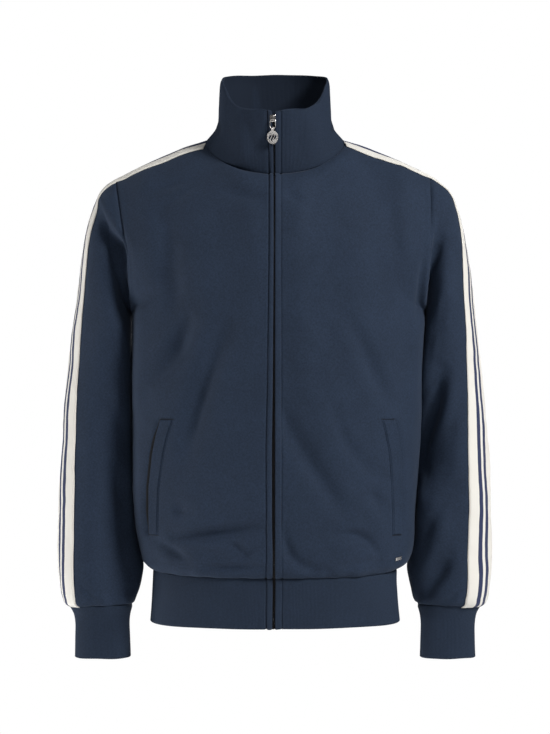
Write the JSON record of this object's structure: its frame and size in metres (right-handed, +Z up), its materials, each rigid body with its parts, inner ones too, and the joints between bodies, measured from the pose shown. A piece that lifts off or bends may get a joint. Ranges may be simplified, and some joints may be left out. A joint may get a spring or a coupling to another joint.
{
  "type": "track jacket",
  "caption": "Zip-front track jacket in its hollow worn form, with stand collar, ribbed hem and cuffs, striped shoulder and sleeve tapes, welt pockets and a zip pull.",
  "frame": {"origin": "middle of the neck, level with the tops of the shoulders, where the wearer's shoulders hold the jacket up", "axes": "+Z up, -Y the way the front faces, +X towards the wearer's left"},
  "size_m": [0.6114, 0.2425, 0.8195],
  "materials": {
    "navy_knit": "smooth double knit, soft sheen",
    "navy_rib": "1x1 rib knit",
    "striped_tape": "cream tape with navy stripes",
    "zip_cloth": "woven zip tape",
    "zip_teeth": "moulded coil, dark",
    "bright_metal": "polished light metal"
  },
  "bodies": {
    "jacket": {"front_left": "navy_knit", "front_right": "navy_knit", "back": "navy_knit", "sleeve_left": "navy_knit", "sleeve_right": "navy_knit", "collar": "navy_rib", "waistband": "navy_rib", "cuff_left": "navy_rib", "cuff_right": "navy_rib", "tape_left": "striped_tape", "tape_right": "striped_tape", "pocket_welt_left": "navy_knit", "pocket_welt_right": "navy_knit", "zip_tape_left": "zip_cloth", "zip_tape_right": "zip_cloth", "zip_chain": "zip_teeth", "zip_slider": "bright_metal", "side_plate": "bright_metal"},
    "link": {"pull_link": "bright_metal"},
    "tab": {"pull_tab": "bright_metal"}
  },
  "joints": [
    {"name": "link_swing", "type": "hinge", "parent": "jacket", "child": "link", "pos_m": [-0.00327, -0.08651, 0.02034], "axis": [-1, 0, 0], "range_deg": [0, 150]},
    {"name": "tab_swing", "type": "hinge", "parent": "link", "child": "tab", "pos_m": [-0.00327, -0.08651, 0.00874], "axis": [-1, 0, 0], "range_deg": [0, 90]}
  ]
}
